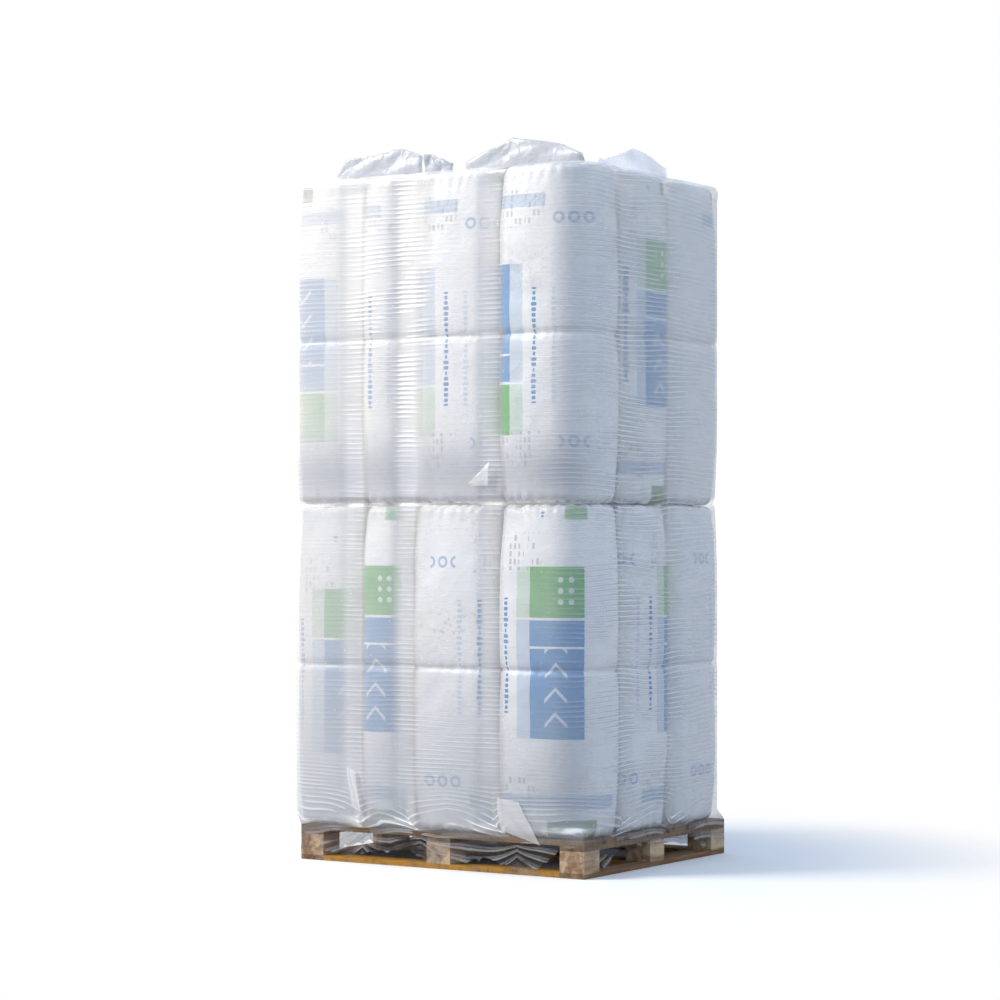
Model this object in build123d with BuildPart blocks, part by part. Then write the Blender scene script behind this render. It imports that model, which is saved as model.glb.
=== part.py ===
from build123d import *
import os

# A stretch-wrapped pallet of bagged insulation rolls, in millimetres.
# X runs along the pallet's long side, Y across it and Z up. The origin is the centre of the pallet's
# underside. The long side at -Y is the front, and the short side at +X is the right.

# Pallet: deck boards on stringers, blocks, and a base frame under the blocks
pallet_length = 1200.0
pallet_width = 1000.0
deck_board_count = 7
deck_board_width = 120.0
deck_board_thickness = 17.0
stringer_width = 100.0
stringer_thickness = 17.0
block_length = 100.0
block_width = 100.0
block_height = 75.0
base_board_width = 100.0
base_board_thickness = 17.0
board_edge_round = 1.0

# Load: two tiers of upright bagged rolls, squeezed against each other in four columns along X.
# The lower tier is pressed a little shorter. A roll is rounder at the load's corners than where rolls meet.
# Each depth is that of one roll, counted from the front, and a column's last roll fills the rest.
load_width = 996.0
load_overhang_right = 4.0
right_column_width = 392.0
right_front_depth = 287.0
right_middle_depth = 345.0
centre_column_width = 362.0
centre_front_depth = 345.0
centre_middle_depth = 318.0
inner_left_column_width = 223.0
inner_left_front_depth = 505.0
left_column_width = 284.0
left_front_depth = 492.0
front_left_round = 50.0
front_right_round = 125.0
back_right_round = 60.0
back_left_round = 60.0
meeting_round = 60.0
lower_roll_height = 1155.0
upper_roll_height = 1175.0
roll_gap = 0.6
roll_side_bulge = 13.0
roll_end_round = 30.0
crease_round = 8.0
right_rows = [("front", right_front_depth), ("middle", right_middle_depth)]
centre_rows = [("front", centre_front_depth), ("middle", centre_middle_depth)]
columns = [
    ("right", right_column_width, right_rows),
    ("centre", centre_column_width, centre_rows),
    ("inner_left", inner_left_column_width, [("front", inner_left_front_depth)]),
    ("left", left_column_width, [("front", left_front_depth)]),
]

# Stretch film: a wall round the load, drawn in over the pallet's deck and stringers
film_thickness = 2.0
film_clearance = 0.4
film_pallet_corner_round = 4.0
film_corner_blend = 45.0
film_draw_in = 26.0
film_stringer_bare = 2.0
film_top_fold = 80.0
film_valley_depth = 12.0
film_valley_half_width = 60.0

# Tails of the upper bags, which stand up behind the film's top fold. Each foot is measured from the
# load's left end, or for the right tail from the load's front. Outlines are in shares of length and height.
tail_thickness = 25.0
tail_setback = 15.0
left_tail_foot = 142.0
left_tail_length = 372.0
left_tail_height = 103.0
left_tail_outline = [(0, 0), (1, 0), (1, 0.72), (0.95, 0.82), (0.76, 1), (0.38, 0.85), (0.1, 0.8), (0, 0.25)]
centre_tail_foot = 527.0
centre_tail_length = 120.0
centre_tail_height = 78.0
centre_tail_outline = [(0, 0), (1, 0), (1, 0.44), (0.7, 0.64), (0.31, 0.92), (0, 1)]
front_tail_foot = 701.0
front_tail_length = 490.0
front_tail_height = 110.0
front_tail_outline = [(0, 0), (0.86, 0), (1, 0.12), (1, 0.26), (0.81, 0.65), (0.55, 0.86), (0.41, 1), (0.28, 0.76), (0, 0.4)]
right_tail_foot = 260.0
right_tail_length = 483.0
right_tail_height = 96.0
right_tail_outline = [(0, 0), (1, 0), (1, 0.52), (0.76, 0.83), (0.52, 1), (0.4, 0.82), (0.17, 0.47), (0, 0.37)]

block_base = base_board_thickness
stringer_base = block_base + block_height
deck_base = stringer_base + stringer_thickness
deck_top = deck_base + deck_board_thickness
load_length = sum(column[1] for column in columns)
load_right = pallet_length / 2 + load_overhang_right
load_left = load_right - load_length
load_centre_x = (load_left + load_right) / 2
load_top = deck_top + lower_roll_height + upper_roll_height
film_load_width = max(load_width, pallet_width)
load_rounds = [front_left_round, front_right_round, back_right_round, back_left_round]
film_outer = film_clearance + film_thickness
film_valley_radius = (film_valley_half_width**2 + film_valley_depth**2) / (2 * film_valley_depth)

os.makedirs("parts", exist_ok=True)


def write(part, name):
    """Label a finished piece and write it to its own file."""
    part.label = name
    export_step(part, f"parts/{name}.step")


def board(name, size, centre, base):
    """One sawn board or block with slightly eased edges, standing on the height base."""
    with BuildPart() as timber:
        with BuildSketch(Plane.XY.offset(base)):
            with Locations(centre):
                Rectangle(size[0], size[1])
        extrude(amount=size[2])
        chamfer(timber.edges().filter_by(Axis.Z), length=board_edge_round)
    write(timber.part, name)


def make_deck():
    """Deck boards along X, evenly spaced from one edge of the pallet to the other."""
    pitch = (pallet_width - deck_board_width) / (deck_board_count - 1)
    for i in range(deck_board_count):
        y = -pallet_width / 2 + deck_board_width / 2 + i * pitch
        size = (pallet_length, deck_board_width, deck_board_thickness)
        board(f"deck_board_{i + 1}", size, (0, y), deck_base)


def make_under_deck():
    """Three stringers across the pallet, nine blocks under them, and the base frame."""
    column_x = pallet_length / 2 - block_length / 2
    row_y = pallet_width / 2 - block_width / 2
    for column, x in (("left", -column_x), ("centre", 0), ("right", column_x)):
        size = (stringer_width, pallet_width, stringer_thickness)
        board(f"stringer_{column}", size, (x, 0), stringer_base)
        for row, y in (("front", -row_y), ("middle", 0), ("back", row_y)):
            size = (block_length, block_width, block_height)
            board(f"block_{row}_{column}", size, (x, y), block_base)
    end_x = pallet_length / 2 - base_board_width / 2
    for side, x in (("left", -end_x), ("right", end_x)):
        size = (base_board_width, pallet_width, base_board_thickness)
        board(f"base_board_{side}", size, (x, 0), 0)
    base_y = pallet_width / 2 - base_board_width / 2
    between_ends = pallet_length - 2 * base_board_width
    for row, y in (("front", -base_y), ("middle", 0), ("back", base_y)):
        size = (between_ends, base_board_width, base_board_thickness)
        board(f"base_board_{row}", size, (0, y), 0)


def bagged_roll(name, centre, size, rounds, base):
    """One bag that holds two rolled lengths end to end, with a crease round it where they meet.

    Its outline is a rectangle whose sides bulge, as the neighbouring rolls and the film press it. The
    rounds are those of its front left, front right, back right and back left corners.
    """
    length, width, height = size
    middle = base + height / 2
    corner_x = length / 2 - roll_side_bulge
    corner_y = width / 2 - roll_side_bulge
    largest = min(corner_x, corner_y)
    corners = [(-corner_x, -corner_y), (corner_x, -corner_y), (corner_x, corner_y), (-corner_x, corner_y)]
    with BuildPart() as roll:
        with BuildSketch(Plane((centre[0], centre[1], middle))) as outline:
            with BuildLine():
                ThreePointArc((-corner_x, -corner_y), (0, -width / 2), (corner_x, -corner_y))
                ThreePointArc((corner_x, -corner_y), (length / 2, 0), (corner_x, corner_y))
                ThreePointArc((corner_x, corner_y), (0, width / 2), (-corner_x, corner_y))
                ThreePointArc((-corner_x, corner_y), (-length / 2, 0), (-corner_x, -corner_y))
            make_face()
            for corner, corner_round in zip(corners, rounds):
                vertex = outline.vertices().sort_by_distance(Vector(*corner))[0]
                fillet(vertex, radius=min(corner_round, largest))
        extrude(amount=height / 2)
        fillet(roll.edges().group_by(Axis.Z)[-1], radius=roll_end_round)
        fillet(roll.edges().group_by(Axis.Z)[0], radius=crease_round)
        mirror(about=Plane.XY.offset(middle))
    write(roll.part, name)


def corner_rounds(column, row):
    """Rounds of a roll's four corners, of which the one at a corner of the load has its own."""
    outer = {("front", "left"): 0, ("front", "right"): 1, ("back", "right"): 2, ("back", "left"): 3}
    rounds = [meeting_round] * 4
    if (row, column) in outer:
        corner = outer[row, column]
        rounds[corner] = load_rounds[corner]
    return rounds


def make_tier(tier, base, height):
    """Lay out one tier of rolls, column by column from the right and row by row from the front."""
    column_right = load_right
    for column, column_width, rows in columns:
        row_front = -load_width / 2
        back_depth = load_width - sum(depth for row, depth in rows)
        for row, depth in rows + [("back", back_depth)]:
            centre = (column_right - column_width / 2, row_front + depth / 2)
            size = (column_width - roll_gap, depth - roll_gap, height)
            bagged_roll(f"{tier}_roll_{row}_{column}", centre, size, corner_rounds(column, row), base)
            row_front += depth
        column_right -= column_width


def film_body(grow, top):
    """The film's outline as one body: straight over the pallet's edge, flared, then up round the load."""
    skirt_base = stringer_base + film_stringer_bare
    flare_base = deck_top - film_draw_in
    blend_top = deck_top + film_corner_blend
    pallet_outline = (pallet_length / 2 + grow, -pallet_length / 2 - grow, pallet_width / 2 + grow)
    load_outline = (load_right + grow, load_left - grow, film_load_width / 2 + grow)
    pallet_rounds = [film_pallet_corner_round + grow] * 4
    rounds = [corner_round + grow for corner_round in load_rounds]
    sections = [
        (skirt_base, pallet_outline, pallet_rounds),
        (flare_base, pallet_outline, pallet_rounds),
        (deck_top, load_outline, pallet_rounds),
        (blend_top, load_outline, rounds),
        (top, load_outline, rounds),
    ]
    with BuildPart() as body:
        for lower, upper in zip(sections, sections[1:]):
            for level, (right, left, side), section_rounds in (lower, upper):
                with BuildSketch(Plane.XY.offset(level)) as section:
                    with Locations(((right + left) / 2, 0)):
                        Rectangle(right - left, 2 * side)
                    corners = [(left, -side, level), (right, -side, level), (right, side, level), (left, side, level)]
                    for corner, corner_round in zip(corners, section_rounds):
                        vertex = section.vertices().sort_by_distance(Vector(*corner))[0]
                        fillet(vertex, radius=corner_round)
            loft()
    return body.part


def row_ends(rows):
    """Where each roll of a column but the last one ends, counted across the load from its middle."""
    return [sum(depth for row, depth in rows[: i + 1]) - load_width / 2 for i in range(len(rows))]


def valley_centres():
    """Centres of the round grooves that the film has outside every place where two rolls meet."""
    beyond = film_outer + film_valley_radius - film_valley_depth
    places = []
    x = load_right
    for column, column_width, rows in columns[:-1]:
        x -= column_width
        places += [(x, -film_load_width / 2 - beyond), (x, film_load_width / 2 + beyond)]
    places += [(load_right + beyond, y) for y in row_ends(columns[0][2])]
    places += [(load_left - beyond, y) for y in row_ends(columns[-1][2])]
    return places


def grooved_film_body(grow, top, groove_base, groove_radius):
    """The film's outline as one body, drawn in between neighbouring rolls from groove_base upwards."""
    with BuildPart() as body:
        add(film_body(grow, top))
        with BuildSketch(Plane.XY.offset(groove_base)):
            with Locations(valley_centres()):
                Circle(groove_radius)
        extrude(amount=top - groove_base, mode=Mode.SUBTRACT)
    return body.part


def make_film():
    """Stretch film: a thin wall that folds over the load's top edge and is open in the middle."""
    inner_top = load_top + film_clearance
    groove_base = deck_top + film_corner_blend
    outer = grooved_film_body(film_outer, inner_top + film_thickness, groove_base, film_valley_radius)
    inner_base = groove_base - film_thickness
    inner = grooved_film_body(film_clearance, inner_top, inner_base, film_valley_radius + film_thickness)
    opening_size = (load_length - 2 * film_top_fold, load_width - 2 * film_top_fold)
    with BuildPart() as film:
        add(outer)
        add(inner, mode=Mode.SUBTRACT)
        with BuildSketch(Plane.XY.offset(inner_top)):
            with Locations((load_centre_x, 0)):
                RectangleRounded(*opening_size, film_top_fold)
        extrude(amount=film_thickness, mode=Mode.SUBTRACT)
    write(film.part, "stretch_film")


def bag_tail(name, plane, foot, size, outline):
    """One bag's gathered end, pressed flat, standing on the bag's top in the given plane."""
    points = [(foot + along * size[0], up * size[1]) for along, up in outline]
    with BuildPart() as flap:
        with BuildSketch(plane):
            with BuildLine():
                Polyline(*points, close=True)
            make_face()
        extrude(amount=tail_thickness)
    write(flap.part, f"bag_tail_{name}")


def make_tails():
    """Tails of the front bags along the front edge, and one along the right edge."""
    setback = film_top_fold + tail_setback
    front_y = -load_width / 2 + setback + tail_thickness
    right_x = load_right - setback - tail_thickness
    front = Plane((load_left, front_y, load_top), x_dir=(1, 0, 0), z_dir=(0, -1, 0))
    right = Plane((right_x, -load_width / 2, load_top), x_dir=(0, 1, 0), z_dir=(1, 0, 0))
    bag_tail("front_left", front, left_tail_foot, (left_tail_length, left_tail_height), left_tail_outline)
    size = (centre_tail_length, centre_tail_height)
    bag_tail("front_centre", front, centre_tail_foot, size, centre_tail_outline)
    size = (front_tail_length, front_tail_height)
    bag_tail("front_right", front, front_tail_foot, size, front_tail_outline)
    size = (right_tail_length, right_tail_height)
    bag_tail("right", right, right_tail_foot, size, right_tail_outline)


make_deck()
make_under_deck()
make_tier("lower", deck_top, lower_roll_height)
make_tier("upper", deck_top + lower_roll_height, upper_roll_height)
make_film()
make_tails()
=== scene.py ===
"""Looks of a stretch-wrapped pallet of bagged insulation rolls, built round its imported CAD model."""

import math

import bpy
import numpy as np
from bpy.props import FloatProperty, FloatVectorProperty, IntProperty, PointerProperty
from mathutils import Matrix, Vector


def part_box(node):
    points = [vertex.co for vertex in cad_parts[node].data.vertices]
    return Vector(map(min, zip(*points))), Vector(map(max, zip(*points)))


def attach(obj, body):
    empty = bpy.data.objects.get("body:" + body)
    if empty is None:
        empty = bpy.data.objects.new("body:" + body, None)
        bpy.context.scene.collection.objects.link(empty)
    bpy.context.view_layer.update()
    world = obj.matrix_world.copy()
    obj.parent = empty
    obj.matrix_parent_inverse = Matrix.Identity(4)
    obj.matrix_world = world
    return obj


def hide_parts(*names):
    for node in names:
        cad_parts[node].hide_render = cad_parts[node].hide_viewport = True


bl_info = {
    "name": "Wrapped pallet of insulation rolls",
    "version": (1, 0, 0),
    "blender": (4, 5, 0),
    "location": "View3D > Sidebar > Wrapped Pallet",
    "description": "Makes the bags, stretch film, bag tails, timber finishes and stage of a wrapped pallet",
    "category": "Add Mesh",
}

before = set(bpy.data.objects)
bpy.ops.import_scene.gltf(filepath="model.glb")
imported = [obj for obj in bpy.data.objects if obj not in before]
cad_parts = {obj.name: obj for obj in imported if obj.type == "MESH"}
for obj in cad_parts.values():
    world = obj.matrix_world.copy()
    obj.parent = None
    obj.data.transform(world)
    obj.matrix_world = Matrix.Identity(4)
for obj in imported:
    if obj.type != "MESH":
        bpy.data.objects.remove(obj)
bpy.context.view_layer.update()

# The load: its tiers, the rows of bags in each of its columns, and the rounds of its upright corners
TIERS = ("lower", "upper")
COLUMN_ROWS = {
    "right": ("front", "middle", "back"),
    "centre": ("front", "middle", "back"),
    "inner_left": ("front", "back"),
    "left": ("front", "back"),
}
OUTER_ROUNDS = {
    ("front", "right"): 0.15,
    ("back", "right"): 0.06,
    ("back", "left"): 0.06,
    ("front", "left"): 0.05,
}
# The bags: the round where they meet, the bulge of a side, how far out each ring of a cap is, the points
# round a bag, the gap at its ends, and the width of a gather
MEETING_ROUND = 0.058
SIDE_BULGE = 0.013
CAP_SHARES = (0.86, 0.66, 0.45, 0.25, 0.1)
BAG_COLUMNS = 116
END_GAP = 0.0006
GATHER_PITCH = 0.045
# The film: its attributes, its gaps to the bags and to the deck, its fold on top, the foot of its wall, how
# deep a valley can count, and its points round the load, down the wall and over the pallet
FILM_LAYERS = ("turns", "strength", "haze", "skirt", "tone")
FILM_GAP = 0.0013
DECK_GAP = 0.0016
FOLD_REACH = 0.085
FOLD_TURN = 0.030
WALL_FOOT = 0.045
DEEPEST_VALLEY = 0.2
FILM_COUNTS = (76, 60, 60, 44, 16, 9, 9, 8)
WALL_ROWS = 590
SKIRT_ROWS = 25
# The floor: half its side, and how far below the pallet it lies
FLOOR_HALF = 40.0
FLOOR_DROP = 0.001
# Where the middle of a bag's print is: the side it faces, how far along that side from the bag's middle,
# how far up, and whether the bag stands on its other end
PRINT_PLACES = {
    "lower_roll_front_right": ("front", 0.068, 0.0, False),
    "lower_roll_front_inner_left": ("front", -0.005, 0.0, False),
    "lower_roll_front_left": ("front", 0.1175, -0.085, False),
    "lower_roll_front_centre": ("front", 0.345, -0.01, False),
    "lower_roll_middle_right": ("right", 0.185, 0.0, False),
    "lower_roll_back_right": ("back", 0.03, 0.0, False),
    "upper_roll_front_right": ("front", -0.223, 0.0, True),
    "upper_roll_front_centre": ("front", -0.20, 0.0, True),
    "upper_roll_front_inner_left": ("front", -0.235, 0.0, True),
    "upper_roll_front_left": ("front", -0.0875, 0.01, True),
    "upper_roll_middle_right": ("right", 0.05, 0.0, False),
    "upper_roll_back_right": ("back", -0.06, 0.0, True),
}


class BagSettings(bpy.types.PropertyGroup):
    """Sizes and colours of the bags round the rolls."""

    end_round: FloatProperty(
        name="End round", description="Radius of a bag's ends", default=0.031, unit="LENGTH"
    )
    crease_depth: FloatProperty(
        name="Crease depth", description="Depth of the crease between two rolled lengths",
        default=0.009, unit="LENGTH",
    )
    gather_depth: FloatProperty(
        name="Gather depth", description="Depth of the gathers at a bag's ends", default=0.009, unit="LENGTH"
    )
    crumple_depth: FloatProperty(
        name="Crumple depth", description="Depth of the dents in a bag's side", default=0.006, unit="LENGTH"
    )
    bag_white: FloatVectorProperty(
        name="Bag white", description="Colour of the bag over the wool",
        default=(0.80, 0.80, 0.80), subtype="COLOR",
    )
    ink_blue: FloatVectorProperty(
        name="Blue ink", description="Colour of the blue print", default=(0.001, 0.21, 0.49), subtype="COLOR"
    )
    ink_green: FloatVectorProperty(
        name="Green ink", description="Colour of the green print",
        default=(0.035, 0.34, 0.035), subtype="COLOR",
    )


class FilmSettings(bpy.types.PropertyGroup):
    """Sizes and finish of the stretch film."""

    rib_pitch: FloatProperty(
        name="Rib pitch", description="Height from rib to rib", default=0.017, unit="LENGTH"
    )
    rib_depth: FloatProperty(
        name="Rib depth", description="How far a rib stands out", default=0.0013, unit="LENGTH"
    )
    rib_sway: FloatProperty(
        name="Rib sway", description="How far a rib wanders up and down", default=0.022, unit="LENGTH"
    )
    valley_dip: FloatProperty(
        name="Valley dip", description="How far the film is drawn in between two rolls",
        default=0.012, unit="LENGTH",
    )
    crumple_depth: FloatProperty(
        name="Crumple depth", description="Depth of the folds over the pallet", default=0.009, unit="LENGTH"
    )
    cover: FloatProperty(name="Cover", description="Share of light that the bare film stops", default=0.06)
    haze_cover: FloatProperty(
        name="Haze cover", description="What a fully hazy place adds to that", default=0.40
    )
    rib_cover: FloatProperty(name="Rib cover", description="What the top of a rib adds to that", default=0.42)
    seed: IntProperty(name="Seed", description="Seed of the ribs and folds", default=7)


class TimberSettings(bpy.types.PropertyGroup):
    """Colours of the pallet's timber."""

    pale: FloatVectorProperty(
        name="Pale wood", description="Colour between the grain lines",
        default=(0.52, 0.38, 0.25), subtype="COLOR",
    )
    dark: FloatVectorProperty(
        name="Dark wood", description="Colour of the grain lines",
        default=(0.22, 0.125, 0.06), subtype="COLOR",
    )
    grime: FloatVectorProperty(
        name="Grime", description="Colour of dirt on the timber",
        default=(0.055, 0.045, 0.038), subtype="COLOR",
    )


class StageSettings(bpy.types.PropertyGroup):
    """Camera, lamps and floor."""

    camera_place: FloatVectorProperty(
        name="Camera place", description="Where the camera stands",
        default=(5.6417, -8.8658, 1.1553), unit="LENGTH",
    )
    camera_turn: FloatProperty(
        name="Camera turn", description="Turn of the camera about the vertical",
        default=math.radians(32.763), unit="ROTATION",
    )
    lens: FloatProperty(name="Lens", description="Focal length in millimetres", default=103.31)
    lift: FloatProperty(name="Lift", description="Upward shift of the picture", default=0.04)
    key_power: FloatProperty(
        name="Key lamp", description="Power of the lamp on the left", default=665.0, unit="POWER"
    )
    fill_power: FloatProperty(
        name="Fill lamp", description="Power of the lamp on the right", default=90.0, unit="POWER"
    )
    sky: FloatVectorProperty(
        name="Sky", description="Light from all round", default=(0.59, 0.72, 0.93), subtype="COLOR"
    )


class LoadSettings(bpy.types.PropertyGroup):
    """All settings of the wrapped pallet."""

    bags: PointerProperty(type=BagSettings)
    film: PointerProperty(type=FilmSettings)
    timber: PointerProperty(type=TimberSettings)
    stage: PointerProperty(type=StageSettings)


# Node helpers


def new_material(name):
    """A material with an empty tree but for its output and a Principled BSDF."""
    material = bpy.data.materials.new(name)
    material.use_nodes = True
    tree = material.node_tree
    shader = tree.nodes["Principled BSDF"]
    return material, tree, shader


def feed(tree, node, inputs):
    """Link each of the node's inputs that is given another node's output, and set the others."""
    for key, value in inputs.items():
        if isinstance(value, bpy.types.NodeSocket):
            tree.links.new(value, node.inputs[key])
        else:
            node.inputs[key].default_value = value


def add_node(tree, kind, inputs=(), **settings):
    """Add a node, set its properties, and feed its inputs."""
    node = tree.nodes.new(kind)
    for key, value in settings.items():
        setattr(node, key, value)
    feed(tree, node, dict(inputs))
    return node


def maths(tree, operation, first, second=0.0, third=0.0, clamp=False):
    """A Math node's output."""
    inputs = {0: first, 1: second, 2: third}
    return add_node(tree, "ShaderNodeMath", operation=operation, use_clamp=clamp, inputs=inputs).outputs[0]


def vector_maths(tree, operation, first, second=(0.0, 0.0, 0.0)):
    """A Vector Math node's output, for two vector inputs."""
    inputs = {0: first, 1: second}
    return add_node(tree, "ShaderNodeVectorMath", operation=operation, inputs=inputs).outputs[0]


def product(tree, *values):
    """Product of all the values."""
    result = values[0]
    for value in values[1:]:
        result = maths(tree, "MULTIPLY", result, value)
    return result


def largest(tree, *values):
    """The largest of the values."""
    result = values[0]
    for value in values[1:]:
        result = maths(tree, "MAXIMUM", result, value)
    return result


def distance(tree, value, middle):
    """How far a value is from a middle."""
    return maths(tree, "ABSOLUTE", maths(tree, "SUBTRACT", value, middle))


def split(tree, vector):
    """The X, Y and Z of a vector."""
    return add_node(tree, "ShaderNodeSeparateXYZ", inputs={0: vector}).outputs


def length_of(tree, vector):
    """Length of a vector."""
    return add_node(tree, "ShaderNodeVectorMath", operation="LENGTH", inputs={0: vector}).outputs["Value"]


def object_place(tree):
    """Object coordinates."""
    return add_node(tree, "ShaderNodeTexCoord").outputs["Object"]


def bump(tree, strength, reach, height):
    """A normal bumped by a height."""
    inputs = {"Strength": strength, "Distance": reach, "Height": height}
    return add_node(tree, "ShaderNodeBump", inputs=inputs).outputs[0]


def blend_colour(tree, share, first, second):
    """A colour Mix node's output. Each colour is another node's output or its first three numbers."""
    node = add_node(tree, "ShaderNodeMix", data_type="RGBA")
    inputs = {socket.identifier: number for number, socket in enumerate(node.inputs)}
    feed(tree, node, {inputs["Factor_Float"]: share})
    for name, colour in (("A_Color", first), ("B_Color", second)):
        value = colour if isinstance(colour, bpy.types.NodeSocket) else (*colour[:3], 1.0)
        feed(tree, node, {inputs[name]: value})
    return next(socket for socket in node.outputs if socket.identifier == "Result_Color")


def span(tree, value, low, high, start=0.0, end=1.0):
    """A Map Range node's output: value from low..high taken to start..end, smoothly and clamped."""
    inputs = {"Value": value, "From Min": low, "From Max": high, "To Min": start, "To Max": end}
    return add_node(tree, "ShaderNodeMapRange", interpolation_type="SMOOTHSTEP", inputs=inputs).outputs[0]


def noise_value(tree, place, scale, detail=2.0, rough=0.5):
    """A Noise Texture's value."""
    inputs = {"Vector": place, "Scale": scale, "Detail": detail, "Roughness": rough}
    return add_node(tree, "ShaderNodeTexNoise", inputs=inputs).outputs[0]


def new_group(kind, name, inputs, outputs):
    """A node group with named sockets. Each is (name, socket type, default) or (name, socket type)."""
    group = bpy.data.node_groups.new(name, kind)
    for way, sockets in (("INPUT", inputs), ("OUTPUT", outputs)):
        for entry in sockets:
            socket = group.interface.new_socket(entry[0], in_out=way, socket_type=entry[1])
            if len(entry) > 2:
                socket.default_value = entry[2]
    start = group.nodes.new("NodeGroupInput")
    end = group.nodes.new("NodeGroupOutput")
    return group, start, end


def new_effect(name, vectors, numbers, outputs):
    """A shader node group of vector inputs, number inputs with their defaults, and number outputs."""
    inputs = [(key, "NodeSocketVector") for key in vectors]
    inputs += [(key, "NodeSocketFloat", default) for key, default in numbers.items()]
    return new_group("ShaderNodeTree", name, inputs, [(key, "NodeSocketFloat") for key in outputs])


def put_out(group, end, *values):
    """Link the values to the group's outputs in order, and give the group."""
    for value, socket in zip(values, end.inputs):
        group.links.new(value, socket)
    return group


def use_group(tree, group, **inputs):
    """Place a shader node group and feed its inputs, whose names are given with _ for a space."""
    node = tree.nodes.new("ShaderNodeGroup")
    node.node_tree = group
    feed(tree, node, {key.replace("_", " "): value for key, value in inputs.items()})
    return node


def shared_group(name, maker):
    """The group of that name, made once."""
    return bpy.data.node_groups.get(name) or maker(name)


# Shared effects


def make_ink_block(name):
    """Mask of one printed rectangle on a flat map in metres."""
    group, start, end = new_effect(name, ("Place", "Centre", "Half Size"), {}, ("Mask",))
    place, centre, half = start.outputs[:3]
    away = vector_maths(group, "ABSOLUTE", vector_maths(group, "SUBTRACT", place, centre))
    beyond = split(group, vector_maths(group, "SUBTRACT", away, half))
    return put_out(group, end, maths(group, "LESS_THAN", largest(group, beyond[0], beyond[1]), 0.0))


def make_ink_dots(name):
    """Mask of a column of dots and short bars up a flat map, repeated at Step."""
    group, start, end = new_effect(name, ("Place", "Centre", "Half Size"), {"Step": 0.018}, ("Mask",))
    place, centre, half, step = start.outputs[:4]
    block = shared_group("Ink block", make_ink_block)
    block = use_group(group, block, Place=place, Centre=centre, Half_Size=half).outputs[0]
    away = split(group, vector_maths(group, "SUBTRACT", place, centre))
    steps = maths(group, "DIVIDE", away[1], step)
    inputs = {"W": maths(group, "FLOOR", steps)}
    chance = add_node(group, "ShaderNodeTexWhiteNoise", noise_dimensions="1D", inputs=inputs).outputs[0]
    side = maths(group, "DIVIDE", away[0], maths(group, "MULTIPLY_ADD", chance, 0.008, 0.004))
    height = maths(group, "SUBTRACT", maths(group, "FRACT", steps), 0.5)
    height = maths(group, "DIVIDE", height, 0.34)
    reach = maths(group, "ADD", maths(group, "POWER", side, 4.0), maths(group, "POWER", height, 4.0))
    return put_out(group, end, product(group, maths(group, "LESS_THAN", reach, 1.0), block))


def make_smudges(name):
    """Mask of soft dirt in patches, with finer specks inside them."""
    group, start, end = new_effect(name, ("Place",), {"Patch Scale": 2.0, "Amount": 0.5}, ("Mask",))
    place, scale, amount = start.outputs[:3]
    patch = span(group, noise_value(group, place, scale, 3.0, 0.6), 0.52, 0.72)
    speck = span(group, noise_value(group, place, 60.0, 4.0, 0.7), 0.42, 0.68)
    return put_out(group, end, product(group, patch, speck, amount))


def make_plastic_creases(name):
    """Height of fine creases in thin plastic: soft dents and sharp folds."""
    group, start, end = new_effect(name, ("Place",), {"Dent Scale": 7.0, "Fold Scale": 16.0}, ("Height",))
    place, dent_scale, fold_scale = start.outputs[:3]
    dents = noise_value(group, place, dent_scale, 2.0, 0.5)
    ridge = product(group, distance(group, noise_value(group, place, fold_scale, 1.0, 0.4), 0.5), 9.0)
    ridge = maths(group, "SUBTRACT", 1.0, ridge, clamp=True)
    return put_out(group, end, maths(group, "ADD", dents, product(group, ridge, 0.35)))


def make_streaks(name):
    """Value of thin level streaks, as stretched film shows them."""
    group, start, end = new_effect(name, ("Place",), {"Fineness": 1.0}, ("Value",))
    place, fineness = start.outputs[:2]
    place = vector_maths(group, "MULTIPLY", place, (4.0, 4.0, 150.0))
    return put_out(group, end, noise_value(group, place, fineness, 2.0, 0.55))


def make_rib_lines(name):
    """Masks of the painted highlight and painted shade on each rib in stretched film, and the rib's height.
    """
    numbers = {"Turns": 0.0, "Strength": 1.0}
    group, start, end = new_effect(name, (), numbers, ("Light", "Dark", "Height"))
    turns, strength = start.outputs[:2]
    angle = product(group, turns, 2 * math.pi)
    wave = maths(group, "SINE", angle)
    late = maths(group, "SINE", maths(group, "SUBTRACT", angle, 1.9))
    light = product(group, span(group, wave, 0.45, 0.95), strength)
    dark = product(group, span(group, late, 0.55, 0.98), strength)
    return put_out(group, end, light, dark, product(group, wave, 0.5, strength))


def make_grain(name):
    """Sawn grain that runs along X of its place: a band value and a fine fibre value."""
    group, start, end = new_effect(name, ("Place",), {"Band Scale": 1.0}, ("Bands", "Fibres"))
    place, scale = start.outputs[:2]
    warp = add_node(group, "ShaderNodeTexNoise", inputs={"Vector": place, "Scale": 3.0}).outputs["Color"]
    stretch = vector_maths(group, "MULTIPLY", place, (1.3, 26.0, 26.0))
    stretch = vector_maths(group, "ADD", stretch, vector_maths(group, "MULTIPLY", warp, (1.6, 1.6, 1.6)))
    bands = noise_value(group, stretch, scale, 3.0, 0.6)
    fine = vector_maths(group, "MULTIPLY", place, (9.0, 320.0, 320.0))
    return put_out(group, end, bands, noise_value(group, fine, 1.0, 3.0, 0.65))


# Materials


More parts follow.
